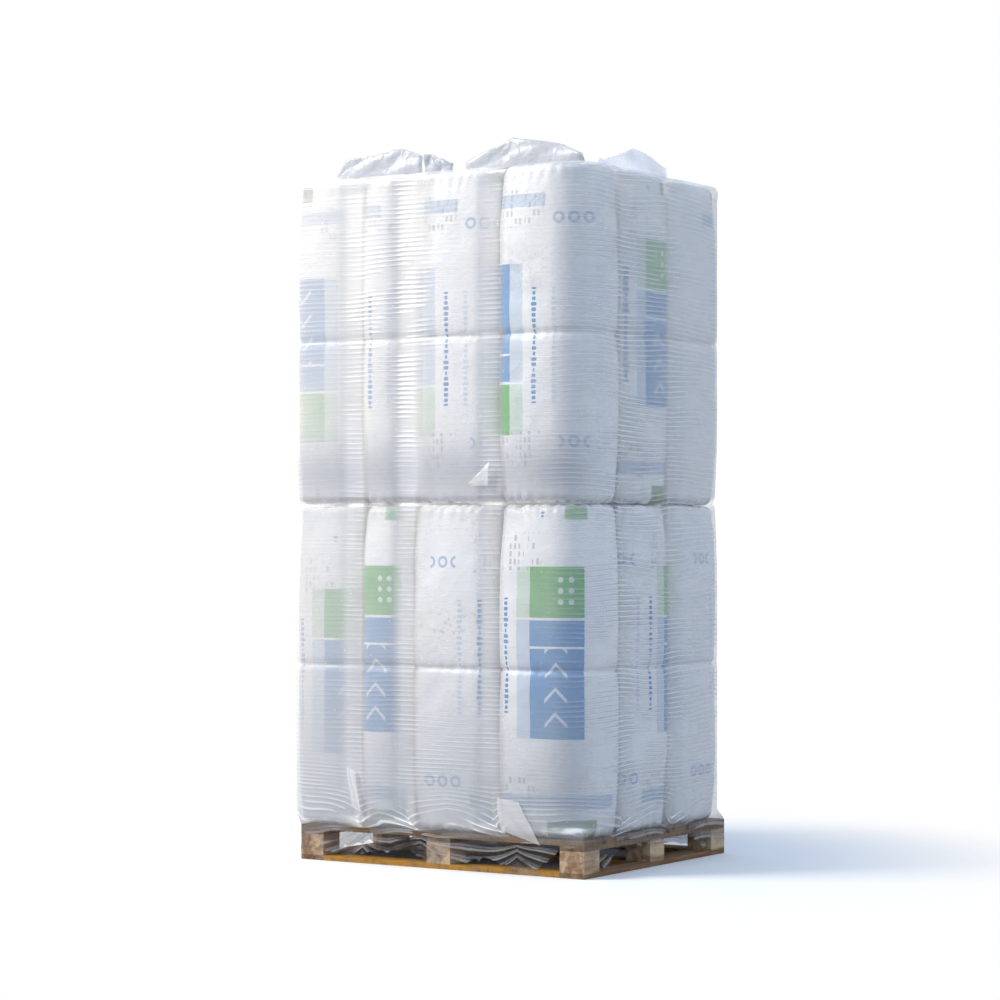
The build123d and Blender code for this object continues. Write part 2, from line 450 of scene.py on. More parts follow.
def printed_bag_material(settings):
    """White bag film over wool, with panels, marks and label rows printed on it, and some dirt."""
    material, tree, shader = new_material("printed bag film")
    wrap = add_node(tree, "ShaderNodeUVMap", uv_map="wrap").outputs[0]
    place = object_place(tree)
    dots = shared_group("Ink dots", make_ink_dots)

    def area(centre, size, group=shared_group("Ink block", make_ink_block), **more):
        half = (size[0] / 2, size[1] / 2, 1.0)
        return use_group(tree, group, Place=wrap, Centre=(*centre, 0.0), Half_Size=half, **more).outputs[0]

    def from_cell_middle(pitch):
        cells = vector_maths(tree, "FRACTION", vector_maths(tree, "DIVIDE", wrap, (pitch, pitch, 1.0)))
        return length_of(tree, vector_maths(tree, "SUBTRACT", cells, (0.5, 0.5, 0.0)))

    white = settings.bag_white
    blue = settings.ink_blue
    green = settings.ink_green
    wool = noise_value(tree, place, 3.2, 4.0, 0.6)
    cool = (white[0] * 0.95, white[1] * 0.965, white[2] * 0.985)
    colour = blend_colour(tree, span(tree, wool, 0.35, 0.7), white, cool)

    # The panel: two blue blocks and a green one above them, with pale chevrons and dots on them
    across, up, _ = split(tree, wrap)
    slant = maths(tree, "ADD", up, maths(tree, "ABSOLUTE", across))
    zigzag = maths(tree, "FRACT", maths(tree, "DIVIDE", slant, 0.085))
    chevrons = product(tree, maths(tree, "LESS_THAN", zigzag, 0.17), area((0.0, 0.52), (0.085, 0.27)))
    spots = maths(tree, "LESS_THAN", from_cell_middle(0.038), 0.26)
    spots = product(tree, spots, area((0.038, 0.855), (0.076, 0.114)))
    panel_blue = largest(tree, area((0.0, 0.5), (0.205, 0.31)), area((0.0, 0.708), (0.205, 0.09)))
    strength = maths(tree, "MULTIPLY_ADD", noise_value(tree, place, 9.0, 2.0), 0.1, 0.86)

    # Columns of marks, the band near the foot, the corner block, small rings, and rows of the label
    pale_column = product(tree, area((-0.285, 0.63), (0.03, 0.40), dots, Step=0.019), 0.3)
    dither = maths(tree, "GREATER_THAN", noise_value(tree, wrap, 260.0, 0.0), 0.44)
    dither = maths(tree, "MULTIPLY_ADD", dither, 0.35, 0.2)
    ring = maths(tree, "LESS_THAN", distance(tree, from_cell_middle(0.055), 0.3), 0.085)
    foot_rings = area((-0.3575, 0.1925), (0.165, 0.055))
    ring_areas = largest(tree, foot_rings, area((-0.3575, 0.9625), (0.11, 0.055)))
    blue_marks = largest(
        tree,
        area((-0.205, 0.63), (0.03, 0.40), dots, Step=0.019),
        pale_column,
        product(tree, area((0.0, 0.128), (0.50, 0.046)), dither),
        area((-0.06, 1.118), (0.03, 0.03), dots, Step=0.012),
        product(tree, ring, ring_areas, 0.6),
    )
    cells = vector_maths(tree, "DIVIDE", wrap, (0.019, 0.027, 1.0))
    inputs = {"Vector": vector_maths(tree, "FLOOR", cells)}
    chance = add_node(tree, "ShaderNodeTexWhiteNoise", noise_dimensions="2D", inputs=inputs).outputs[0]
    inner = split(tree, vector_maths(tree, "FRACTION", cells))
    bar = maths(tree, "LESS_THAN", inner[0], span(tree, chance, 0.35, 1.0, 0.0, 0.55))
    gap = maths(tree, "LESS_THAN", inner[1], maths(tree, "MULTIPLY_ADD", chance, 0.5, 0.3))
    label_areas = largest(tree, area((-0.15, 0.155), (0.19, 0.13)), area((-0.15, 0.99), (0.19, 0.13)))

    # Scuffs on the front of the lower centre bag, and dirt everywhere
    x, y, z = split(tree, place)
    scuffs = span(tree, distance(tree, z, 0.86), 0.02, 0.09, 1.0, 0.0)
    beside = span(tree, distance(tree, x, 0.02), 0.1, 0.18, 1.0, 0.0)
    specks = span(tree, noise_value(tree, place, 34.0, 4.0, 0.75), 0.52, 0.66)
    scuffs = product(tree, scuffs, beside, maths(tree, "LESS_THAN", y, -0.42), specks)
    dirt = use_group(tree, shared_group("Smudges", make_smudges), Place=place, Patch_Scale=2.6, Amount=0.35)

    # From the bottom layer up: where it is, how strong it is, and its colour. The two at -0.13 are the welded
    # overlap beside the panel, where the print shows through pale.
    for mask, share, ink in (
        (panel_blue, strength, blue),
        (area((0.0, 0.85), (0.205, 0.176)), strength, green),
        (largest(tree, chevrons, spots), 0.75, white),
        (area((-0.13, 0.55), (0.056, 0.41)), 0.3, blue),
        (area((-0.13, 0.85), (0.056, 0.176)), 0.3, green),
        (blue_marks, 1.0, blue),
        (area((0.06, 0.034), (0.20, 0.066)), 0.9, (0.03, 0.17, 0.035)),
        (area((0.075, 1.125), (0.09, 0.05)), 0.75, green),
        (product(tree, bar, gap, label_areas), 0.5, (0.16, 0.16, 0.17)),
        (scuffs, 0.45, (0.33, 0.26, 0.18)),
        (dirt.outputs[0], 1.0, (0.25, 0.21, 0.16)),
    ):
        colour = blend_colour(tree, product(tree, mask, share), colour, ink)
    rough = span(tree, wool, 0.3, 0.7, 0.34, 0.5)
    creases = use_group(tree, shared_group("Plastic creases", make_plastic_creases), Place=place)
    normal = bump(tree, 0.22, 0.006, creases.outputs[0])
    feed(tree, shader, {"Base Color": colour, "Roughness": rough, "Normal": normal})
    return material


def film_material(settings):
    """Clear glossy stretch film, driven by the film's own attributes.

    Haze makes it milky, tone greys it with painted shade low in each tier on the front and round the front
    right corner, ribs show as a painted highlight and a painted shade line, and the skirt over the pallet is
    darkened with painted shade. Fine streaks, soft patches and drops are the same all over.
    """
    material, tree, shader = new_material("stretch film")
    place = object_place(tree)
    read = {}
    for key in FILM_LAYERS:
        read[key] = add_node(tree, "ShaderNodeAttribute", attribute_name=key).outputs["Fac"]
    group = shared_group("Rib lines", make_rib_lines)
    light, dark, swell = use_group(tree, group, Turns=read["turns"], Strength=read["strength"]).outputs
    streaks = use_group(tree, shared_group("Streaks", make_streaks), Place=place, Fineness=1.0).outputs[0]
    cloud = noise_value(tree, place, 2.4, 3.0, 0.55)
    bare = maths(tree, "SUBTRACT", 1.0, read["skirt"])
    drops = add_node(tree, "ShaderNodeTexVoronoi", inputs={"Vector": place, "Scale": 75.0, "Randomness": 1.0})
    chance = add_node(tree, "ShaderNodeSeparateColor", inputs={0: drops.outputs["Color"]}).outputs[0]
    drop = maths(tree, "LESS_THAN", drops.outputs["Distance"], span(tree, chance, 0.86, 1.0, 0.0, 0.17))
    alpha = settings.cover
    for layer, cover in (
        (read["haze"], settings.haze_cover),
        (read["tone"], 0.45),
        (light, settings.rib_cover),
        (dark, settings.rib_cover * 0.7),
        (product(tree, span(tree, cloud, 0.4, 0.7), 0.10, bare), 1.0),
        (span(tree, streaks, 0.52, 0.75), 0.08),
    ):
        alpha = maths(tree, "MULTIPLY_ADD", layer, cover, alpha)
    alpha = maths(tree, "MULTIPLY_ADD", drop, 0.4, alpha, clamp=True)
    # Painted shade: the skirt over the pallet is darkened for the shade in the pocket under the load
    colour = blend_colour(tree, read["skirt"], (0.88, 0.86, 0.83), (0.18, 0.16, 0.145))
    # Painted shade: tone greys the film low in each tier on the front and round the front right corner
    colour = blend_colour(tree, read["tone"], colour, (0.40, 0.43, 0.48))
    # Painted shade: the dark line of each rib
    colour = blend_colour(tree, dark, colour, (0.36, 0.37, 0.40))
    # Painted highlight: the light line of each rib, dimmer over the pallet
    bright = blend_colour(tree, read["skirt"], (0.96, 0.97, 0.98), (0.62, 0.60, 0.57))
    height = maths(tree, "MULTIPLY_ADD", streaks, 0.5, product(tree, cloud, 0.5))
    inputs = {
        "Base Color": blend_colour(tree, light, colour, bright),
        "Roughness": span(tree, cloud, 0.3, 0.7, 0.22, 0.38),
        "Alpha": alpha,
        "Normal": bump(tree, 0.5, 0.003, maths(tree, "ADD", height, swell)),
        "IOR": 1.5,
    }
    feed(tree, shader, inputs)
    return material


def tail_material(name, tone, least, most):
    """Loose white bag film, finely creased, whose opacity varies from least to most."""
    material, tree, shader = new_material(name)
    place = object_place(tree)
    cloud = noise_value(tree, place, 9.0, 3.0, 0.6)
    pale = (tone, tone * 1.03, tone * 1.09)
    deep = (tone * 0.84, tone * 0.88, tone * 0.95)
    group = shared_group("Plastic creases", make_plastic_creases)
    creases = use_group(tree, group, Place=place, Dent_Scale=14.0, Fold_Scale=24.0).outputs[0]
    inputs = {
        "Base Color": blend_colour(tree, span(tree, cloud, 0.35, 0.7), pale, deep),
        "Roughness": span(tree, cloud, 0.3, 0.7, 0.25, 0.4),
        "Alpha": span(tree, cloud, 0.3, 0.7, least, most),
        "Normal": bump(tree, 0.4, 0.006, creases),
    }
    feed(tree, shader, inputs)
    return material


def timber_material(name, settings, turn, tint, grime_amount, painted=None):
    """Sawn, weathered pallet timber whose grain runs along X, or along Y if turned."""
    material, tree, shader = new_material(name)
    place = object_place(tree)
    inputs = {"Vector": place, "Rotation": (0.0, 0.0, math.radians(90) if turn else 0.0)}
    along = add_node(tree, "ShaderNodeMapping", inputs=inputs).outputs[0]
    grain = use_group(tree, shared_group("Sawn grain", make_grain), Place=along, Band_Scale=1.0)
    bands = span(tree, grain.outputs["Bands"], 0.38, 0.66)
    fibres = span(tree, grain.outputs["Fibres"], 0.3, 0.7)
    pale = [c * t for c, t in zip(settings.pale, tint)]
    dark = [c * t for c, t in zip(settings.dark, tint)]
    colour = blend_colour(tree, bands, pale, dark)
    colour = blend_colour(tree, product(tree, fibres, 0.35), colour, dark)
    if painted:
        worn = span(tree, noise_value(tree, place, 14.0, 4.0, 0.7), 0.36, 0.52)
        colour = blend_colour(tree, product(tree, worn, 0.85), colour, painted)
    group = shared_group("Smudges", make_smudges)
    dirt = use_group(tree, group, Place=place, Patch_Scale=5.0, Amount=grime_amount).outputs[0]
    inputs = {
        "Base Color": blend_colour(tree, dirt, colour, settings.grime),
        "Roughness": span(tree, grain.outputs["Fibres"], 0.3, 0.7, 0.72, 0.9),
        "Normal": bump(tree, 0.6, 0.002, maths(tree, "MULTIPLY_ADD", fibres, 0.5, bands)),
    }
    feed(tree, shader, inputs)
    return material


# Mesh helpers


def corner_ring(centre, half, radii, counts):
    """Points and outward directions round a rounded rectangle, from the front side's left end towards +X.

    half is (half length, half width), radii are those of the front right, back right, back left and front
    left corners, and counts are the points on each side and on each corner.
    """
    points = []
    outward = []
    front_right, back_right, back_left, front_left = radii
    hx, hy = half
    ends = [
        ((-hx + front_left, -hy), (hx - front_right, -hy), (0, -1)),
        ((hx, -hy + front_right), (hx, hy - back_right), (1, 0)),
        ((hx - back_right, hy), (-hx + back_left, hy), (0, 1)),
        ((-hx, hy - back_left), (-hx, -hy + front_left), (-1, 0)),
    ]
    corner_turns = [-90, 0, 90, 180]
    for side in range(4):
        first, last, facing = ends[side]
        count = counts[side]
        for i in range(count):
            share = i / count
            points.append((first[0] + (last[0] - first[0]) * share, first[1] + (last[1] - first[1]) * share))
            outward.append(facing)
        radius = radii[side]
        count = counts[4 + side]
        middle = (last[0] - facing[0] * radius, last[1] - facing[1] * radius)
        for i in range(count):
            angle = math.radians(corner_turns[side] + 90 * i / count)
            direction = (math.cos(angle), math.sin(angle))
            points.append((middle[0] + direction[0] * radius, middle[1] + direction[1] * radius))
            outward.append(direction)
    return np.array(points) + np.array(centre), np.array(outward, float)


def ring_lengths(points):
    """Distance along a closed ring up to each point, and its whole length."""
    steps = np.linalg.norm(np.roll(points, -1, axis=0) - points, axis=1)
    return np.concatenate([[0], np.cumsum(steps)[:-1]]), steps.sum()


def grid_faces(rows, columns, closed=True):
    """Quads of a grid whose columns run round and whose rows run up, with faces outwards."""
    i, j = np.meshgrid(np.arange(rows - 1), np.arange(columns if closed else columns - 1), indexing="ij")
    after = (j + 1) % columns
    corners = [i * columns + j, i * columns + after, (i + 1) * columns + after, (i + 1) * columns + j]
    return np.stack(corners, axis=-1).reshape(-1, 4)


def mesh_from(name, points, faces, attributes):
    """A mesh object with smooth faces and float attributes on its points."""
    mesh = bpy.data.meshes.new(name)
    mesh.from_pydata(points.tolist(), [], [tuple(face) for face in faces])
    for key, values in attributes.items():
        layer = mesh.attributes.new(key, "FLOAT", "POINT")
        layer.data.foreach_set("value", np.asarray(values, np.float32).ravel())
    mesh.shade_smooth()
    piece = bpy.data.objects.new(name, mesh)
    bpy.context.scene.collection.objects.link(piece)
    return piece


def run_tree(piece, tree, settings, **values):
    """Run a Geometry Nodes tree on a piece, and keep the result as its mesh.

    The tree's inputs are the values given and, for the others, the settings of the same names.
    """
    modifier = piece.modifiers.new("shape", "NODES")
    modifier.node_group = tree
    for item in tree.interface.items_tree:
        key = item.name.lower().replace(" ", "_")
        if item.in_out == "INPUT" and key != "geometry":
            modifier[item.identifier] = values[key] if key in values else getattr(settings, key)
    graph = bpy.context.evaluated_depsgraph_get()
    graph.update()
    shaped = piece.evaluated_get(graph)
    result = bpy.data.meshes.new_from_object(shaped, preserve_all_data_layers=True, depsgraph=graph)
    old = piece.data
    piece.modifiers.clear()
    piece.data = result
    bpy.data.meshes.remove(old)


def read_all(items, key, width=1, kind=np.float32):
    """One property of all the items, as an array."""
    values = np.empty(len(items) * width, kind)
    items.foreach_get(key, values)
    return values


def bell(away, reach):
    """1 where away is 0, falling smoothly to nothing a few reaches off."""
    return np.exp(-((away / reach) ** 2))


def named_value(tree, name):
    """A float attribute read in a geometry tree."""
    node = add_node(tree, "GeometryNodeInputNamedAttribute", data_type="FLOAT", inputs={"Name": name})
    return node.outputs["Attribute"]


def begin_tree(name, sizes, spread):
    """A geometry tree with the given sizes as inputs, and a place for its noises that moves with the seed."""
    inputs = [("Geometry", "NodeSocketGeometry")]
    inputs += [(key, "NodeSocketFloat", default) for key, default in sizes]
    inputs += [("Seed", "NodeSocketInt", 0), ("Material", "NodeSocketMaterial")]
    tree, start, end = new_group("GeometryNodeTree", name, inputs, [("Geometry", "NodeSocketGeometry")])
    tree.is_modifier = True
    position = tree.nodes.new("GeometryNodeInputPosition").outputs[0]
    drift = vector_maths(tree, "MULTIPLY", spread)
    tree.links.new(start.outputs["Seed"], drift.node.inputs[1])
    return tree, start, end, vector_maths(tree, "ADD", position, drift)


def finish_tree(tree, start, end, geometry, outward):
    """Move the points outwards by a distance, then close the tree with Realize Instances and Set Material."""
    normal = tree.nodes.new("GeometryNodeInputNormal").outputs[0]
    shift = add_node(tree, "ShaderNodeVectorMath", operation="SCALE", inputs={0: normal, "Scale": outward})
    inputs = {"Geometry": geometry, "Offset": shift.outputs[0]}
    moved = add_node(tree, "GeometryNodeSetPosition", inputs=inputs).outputs[0]
    real = add_node(tree, "GeometryNodeRealizeInstances", inputs={"Geometry": moved}).outputs[0]
    inputs = {"Geometry": real, "Material": start.outputs["Material"]}
    done = add_node(tree, "GeometryNodeSetMaterial", inputs=inputs).outputs[0]
    tree.links.new(done, end.inputs["Geometry"])


def gathers_tree():
    """Geometry Nodes: a bag's gathers at its ends, puckers along its crease and dents in its side."""
    sizes = [("Gather Depth", 0.006), ("Gather Pitch", GATHER_PITCH), ("Crumple Depth", 0.005)]
    tree, start, end, place = begin_tree("Bag gathers", sizes, (1.7, 2.3, 3.1))
    wander = product(tree, maths(tree, "SUBTRACT", noise_value(tree, place, 6.0, 2.0), 0.5), 0.16)
    along = maths(tree, "ADD", named_value(tree, "along"), wander)
    turns = maths(tree, "DIVIDE", along, start.outputs["Gather Pitch"])
    wave = maths(tree, "SINE", product(tree, turns, 2 * math.pi))
    wave = maths(tree, "MULTIPLY_ADD", wave, 0.5, 0.5)
    uneven = span(tree, noise_value(tree, place, 11.0, 1.0), 0.3, 0.7, 0.2, 1.2)
    held = maths(tree, "ADD", named_value(tree, "ends"), product(tree, named_value(tree, "waist"), 0.4))
    inward = product(tree, wave, uneven, start.outputs["Gather Depth"], held)
    dents = span(tree, noise_value(tree, place, 4.2, 3.0, 0.5), 0.45, 0.75)
    inward = maths(tree, "MULTIPLY_ADD", dents, start.outputs["Crumple Depth"], inward)
    finish_tree(tree, start, end, start.outputs["Geometry"], product(tree, inward, -1.0))
    return tree


def ribs_tree():
    """Geometry Nodes: level ribs that stand out of the film, and folds over the pallet."""
    sizes = [("Rib Pitch", 0.017), ("Rib Depth", 0.002), ("Rib Sway", 0.03), ("Crumple Depth", 0.012)]
    tree, start, end, place = begin_tree("Film ribs", sizes, (1.3, 2.9, 0.7))
    sway = maths(tree, "SUBTRACT", noise_value(tree, place, 3.0, 1.0), 0.5)
    height = maths(tree, "MULTIPLY_ADD", sway, start.outputs["Rib Sway"], named_value(tree, "lift"))
    turns = maths(tree, "DIVIDE", height, start.outputs["Rib Pitch"])
    wave = maths(tree, "SINE", product(tree, turns, 2 * math.pi))
    ridge = maths(tree, "POWER", maths(tree, "MULTIPLY_ADD", wave, 0.5, 0.5), 2.0)
    local = vector_maths(tree, "MULTIPLY", place, (5.0, 5.0, 16.0))
    present = span(tree, noise_value(tree, local, 1.0, 2.0), 0.36, 0.56)
    strength = maths(tree, "MULTIPLY", present, named_value(tree, "hold"), clamp=True)
    folds = maths(tree, "SUBTRACT", distance(tree, noise_value(tree, place, 17.0, 2.0), 0.5), 0.12)
    folds = product(tree, folds, named_value(tree, "skirt"))
    outward = product(tree, ridge, strength, start.outputs["Rib Depth"])
    outward = maths(tree, "MULTIPLY_ADD", folds, start.outputs["Crumple Depth"], outward)
    geometry = start.outputs["Geometry"]
    for name, value in (("turns", turns), ("strength", strength)):
        inputs = {"Geometry": geometry, "Name": name, "Value": value}
        settings = {"data_type": "FLOAT", "domain": "POINT", "inputs": inputs}
        geometry = add_node(tree, "GeometryNodeStoreNamedAttribute", **settings).outputs[0]
    finish_tree(tree, start, end, geometry, outward)
    return tree


# Bags


def bag_names():
    """Every bag's name, tier by tier, with its rounds from the front right corner round to the front left."""
    order = (("front", "right"), ("back", "right"), ("back", "left"), ("front", "left"))
    for tier in TIERS:
        for column, rows in COLUMN_ROWS.items():
            for row in rows:
                rounds = [OUTER_ROUNDS[c] if c == (row, column) else MEETING_ROUND for c in order]
                yield f"{tier}_roll_{row}_{column}", rounds


def bag_ring(low, high, rounds, columns):
    """Outline of a bag in plan: a rounded rectangle whose sides bulge, and its outward directions."""
    centre = ((low.x + high.x) / 2, (low.y + high.y) / 2)
    half = np.array([(high.x - low.x) / 2 - SIDE_BULGE, (high.y - low.y) / 2 - SIDE_BULGE])
    rounds = [min(radius, min(half)) for radius in rounds]
    front_right, back_right, back_left, front_left = rounds
    sides = [2 * half[0] - front_left - front_right, 2 * half[1] - front_right - back_right]
    sides += [2 * half[0] - back_right - back_left, 2 * half[1] - back_left - front_left]
    quarters = [math.pi / 2 * radius for radius in rounds]
    whole = sum(sides) + sum(quarters)
    counts = [max(2, round(columns * length / whole)) for length in sides]
    counts += [max(7, round(columns * length / whole)) for length in quarters]
    points, outward = corner_ring(centre, half, rounds, counts)
    share = np.abs(points - centre) / half
    points = points + outward * (SIDE_BULGE * (1 - np.clip(share.min(axis=1), 0, 1) ** 2))[:, None]
    return points, outward, centre


def bag_heights(base, top, end_round, crease_depth):
    """Height and inset of each row up a bag's side, rounded at both ends and drawn in at the crease."""
    middle = (base + top) / 2
    side = np.concatenate(
        [
            np.linspace(base + end_round + 0.012, middle - 0.036, 34),
            middle + np.array([-0.026, -0.018, -0.011, -0.006, -0.002, 0.002, 0.006, 0.011, 0.018, 0.026]),
            np.linspace(middle + 0.036, top - end_round - 0.012, 34),
        ]
    )
    angles = np.radians(np.arange(0, 91, 15))
    turn = [(end_round * (1 - math.sin(angle)), end_round * (1 - math.cos(angle))) for angle in angles]
    rows = [(base + up, inset) for up, inset in turn[::-1]]
    rows += [(z, 0.0) for z in side]
    rows += [(top - up, inset) for up, inset in turn]
    rows = np.array(rows)
    reach = np.abs(rows[:, 0] - middle)
    rows[:, 1] += crease_depth * np.exp(-((reach / 0.008) ** 1.3))
    rows[:, 1] += 0.003 * bell(reach, 0.05)
    to_end = np.minimum(rows[:, 0] - base, top - rows[:, 0])
    rows[:, 1] += 0.014 * bell(to_end, 0.16)
    return rows


def bag_body(ring, outward, centre, rows):
    """Points and faces of a closed bag, its rows with those of both caps, and each point's cap share."""
    columns = len(ring)
    side = [np.column_stack([ring - outward * inset, np.full(columns, z)]) for z, inset in rows]
    caps = []
    for edge in (side[0], side[-1]):
        flat = np.array([*centre, edge[0, 2]])
        caps.append([flat + (edge - flat) * share for share in CAP_SHARES])
    body = np.concatenate(caps[0][::-1] + side + caps[1])
    row_count = len(rows) + 2 * len(CAP_SHARES)
    foot = len(body)
    body = np.vstack([body, [*centre, rows[0][0]], [*centre, rows[-1][0]]])
    faces = grid_faces(row_count, columns).tolist()
    top_row = (row_count - 1) * columns
    for j in range(columns):
        after = (j + 1) % columns
        faces.append((after, j, foot))
        faces.append((top_row + j, top_row + after, foot + 1))
    shares = np.repeat([*CAP_SHARES[::-1], *[1.0] * len(rows), *CAP_SHARES], columns)
    return body, faces, row_count, np.concatenate([shares, [0, 0]])


def hidden_print(name, number):
    """Where the print is on a bag whose front the photograph hides."""
    return "back" if "back" in name else "left", 0.05 * (number % 3), 0.0, number % 2 == 1


def add_print_map(piece, name, number, ring, centre, heights):
    """The print's map: metres round the bag from the middle of the print, and metres up from its foot."""
    low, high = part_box(name)
    side, offset, rise, flipped = PRINT_PLACES.get(name) or hidden_print(name, number)
    facing = {"front": (0, -1), "right": (1, 0), "back": (0, 1), "left": (-1, 0)}[side]
    lengths, whole = ring_lengths(ring)
    foot = len(heights) - 2
    ahead = ring - np.array(centre)
    on_side = np.abs(ahead @ np.array((-facing[1], facing[0]))) + 10 * (ahead @ np.array(facing) < 0)
    start = lengths[int(np.argmin(on_side))] + offset
    mesh = piece.data
    loops = read_all(mesh.loops, "vertex_index", kind=np.int32)
    starts = read_all(mesh.polygons, "loop_start", kind=np.int32)
    totals = read_all(mesh.polygons, "loop_total", kind=np.int32)
    face_of = np.repeat(np.arange(len(starts)), totals)

    # A face across the ring's start is kept whole, and so is one at a cap's middle point
    on_ring = loops < foot
    across = lengths[np.where(on_ring, loops % len(ring), 0)]
    least = np.minimum.reduceat(np.where(on_ring, across, 9), starts)[face_of]
    across = np.where(on_ring, across, least)
    across = np.where(across - least > whole / 2, across - whole, across)
    middle_of = np.add.reduceat(across, starts)[face_of] / totals[face_of] - start
    across = across - start - np.round(middle_of / whole) * whole
    up = heights[loops] - low.z - rise
    if flipped:
        across = -across
        up = high.z - heights[loops] - rise
    layer = mesh.uv_layers.new(name="wrap")
    layer.data.foreach_set("uv", np.column_stack([across, up]).astype(np.float32).ravel())


def make_bag(name, rounds, tree, material, settings, number):
    """One bag in the place of its roll: side, rounded ends, closed caps, and the map its print follows."""
    low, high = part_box(name)
    ring, outward, centre = bag_ring(low, high, rounds, BAG_COLUMNS)
    rows = bag_heights(low.z + END_GAP, high.z - END_GAP, settings.end_round, settings.crease_depth)
    body, faces, row_count, cap_shares = bag_body(ring, outward, centre, rows)
    heights = body[:, 2]
    ends = bell(np.minimum(heights - low.z, high.z - heights), 0.05) * np.clip(cap_shares, 0.15, 1)
    waist = bell(heights - (low.z + high.z) / 2, 0.03)
    along = np.concatenate([np.tile(ring_lengths(ring)[0], row_count), [0, 0]])
    piece = mesh_from(f"bag_{name}", body, faces, {"ends": ends, "waist": waist, "along": along})
    add_print_map(piece, name, number, ring, centre, heights)
    run_tree(piece, tree, settings, gather_pitch=GATHER_PITCH, seed=number, material=material)
    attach(piece, "root")
    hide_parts(name)
    return piece


class MakeBags(bpy.types.Operator):
    """Make the twenty printed bags in the place of the CAD rolls"""

    bl_idname = "wrapped_pallet.make_bags"
    bl_label = "Make Bags"

    def execute(self, context):
        settings = context.scene.wrapped_pallet.bags
        tree = gathers_tree()
        material = printed_bag_material(settings)
        for number, (name, rounds) in enumerate(bag_names()):
            make_bag(name, rounds, tree, material, settings, number)
        return {"FINISHED"}


# Stretch film


def load_box():
    """The load's box: lowest and highest corner of all the rolls."""
    boxes = [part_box(name) for name, _ in bag_names()]
    low = Vector([min(box[0][i] for box in boxes) for i in range(3)])
    high = Vector([max(box[1][i] for box in boxes) for i in range(3)])
    return low, high


def depth_behind(points, outward):
    """How far behind each point of the film's ring the nearest bag is, straight inwards."""
    nearest = np.full(len(points), DEEPEST_VALLEY)
    for name, rounds in bag_names():
        if not name.startswith("lower"):
            continue
        low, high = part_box(name)
        ring, _, _ = bag_ring(low, high, rounds, 96)
        start = ring[None, :, :] - points[:, None, :]
        run = (np.roll(ring, -1, axis=0) - ring)[None, :, :]
        inward = -outward[:, None, :]
        cross = inward[..., 0] * run[..., 1] - inward[..., 1] * run[..., 0]
        cross = np.where(np.abs(cross) < 1e-9, 1e-9, cross)
        away = (start[..., 0] * run[..., 1] - start[..., 1] * run[..., 0]) / cross
        share = (start[..., 0] * inward[..., 1] - start[..., 1] * inward[..., 0]) / cross
        hit = (share >= 0) & (share <= 1) & (away > -0.004)
        nearest = np.minimum(nearest, np.where(hit, np.maximum(away, 0), DEEPEST_VALLEY).min(axis=1))
    return nearest


def facings(outward):
    """How squarely each point faces the front, the right, and the two far sides."""
    front = np.clip(-outward[:, 1], 0, 1)
    right = np.clip(outward[:, 0], 0, 1)
    far = np.clip(np.maximum(outward[:, 1], -outward[:, 0]), 0, 1)
    return front, right, far


def torn_edge(points, outward):
    """Height of the film's lower edge round the pallet: torn, with hanging tatters."""
    front = [(-0.61, 0.02), (-0.5, 0.035), (-0.37, 0.02), (-0.25, 0.05), (-0.15, 0.062), (-0.06, 0.03)]
    front += [(0.0, 0.008), (0.1, 0.035), (0.2, 0.045), (0.27, 0.036), (0.31, 0.012), (0.36, 0.006)]
    front += [(0.40, 0.02), (0.45, 0.05), (0.49, 0.088), (0.53, 0.098), (0.61, 0.1)]
    right = [(-0.51, 0.1), (-0.47, 0.075), (-0.44, 0.03), (-0.40, 0.045), (-0.36, 0.02), (-0.32, 0.05)]
    right += [(-0.28, 0.083), (-0.1, 0.088), (0.1, 0.083), (0.26, 0.075), (0.33, 0.04), (0.38, 0.055)]
    right += [(0.43, 0.035), (0.51, 0.06)]
    rest = [(-0.61, 0.05), (-0.4, 0.07), (-0.3, 0.03), (-0.1, 0.06)]
    rest += [(0.05, 0.02), (0.2, 0.07), (0.4, 0.04), (0.61, 0.06)]
    x, y = points[:, 0], points[:, 1]
    on_front = np.interp(x, *zip(*front))
    on_back = np.interp(-x, *zip(*rest)) * 0.3 + 0.004
    on_right = np.interp(y, *zip(*right))
    on_left = np.interp(y, *zip(*rest)) * 0.3 + 0.004
    weight = np.maximum([-outward[:, 1], outward[:, 1], outward[:, 0], -outward[:, 0]], 0) ** 2
    heights = (weight * np.stack([on_front, on_back, on_right, on_left])).sum(axis=0) / weight.sum(axis=0)
    chance = np.random.default_rng(11)
    return np.clip(heights + chance.normal(0, 0.006, len(heights)), 0.004, 0.105)


def rib_places(ring, outward, height):
    """How strongly ribs show on each column of the film at one height, away from the valleys."""

    def spot(middle, reach, level, spread):
        return bell(along - middle, reach) * bell(height - level, spread)

    along = ring[:, 0]
    facing_front, facing_right, far_side = facings(outward)
    front = 0.75 * spot(-0.22, 0.22, 2.02, 0.30) + 0.16 * spot(-0.60, 0.06, 2.1, 0.35)
    front = front + 0.55 * spot(0.0, 0.16, 0.42, 0.2) + 0.3 * spot(0.45, 0.1, 1.75, 0.35)
    front = front + 0.25 * spot(-0.3, 0.2, 0.55, 0.2) + 0.04
    along = ring[:, 1]
    right = 0.42 + 0.6 * spot(-0.2, 0.22, 1.0, 1.6) + 0.3 * spot(0.15, 0.12, 0.8, 0.9)
    return np.clip(facing_front * front + facing_right * right + 0.35 * far_side, 0, 1)


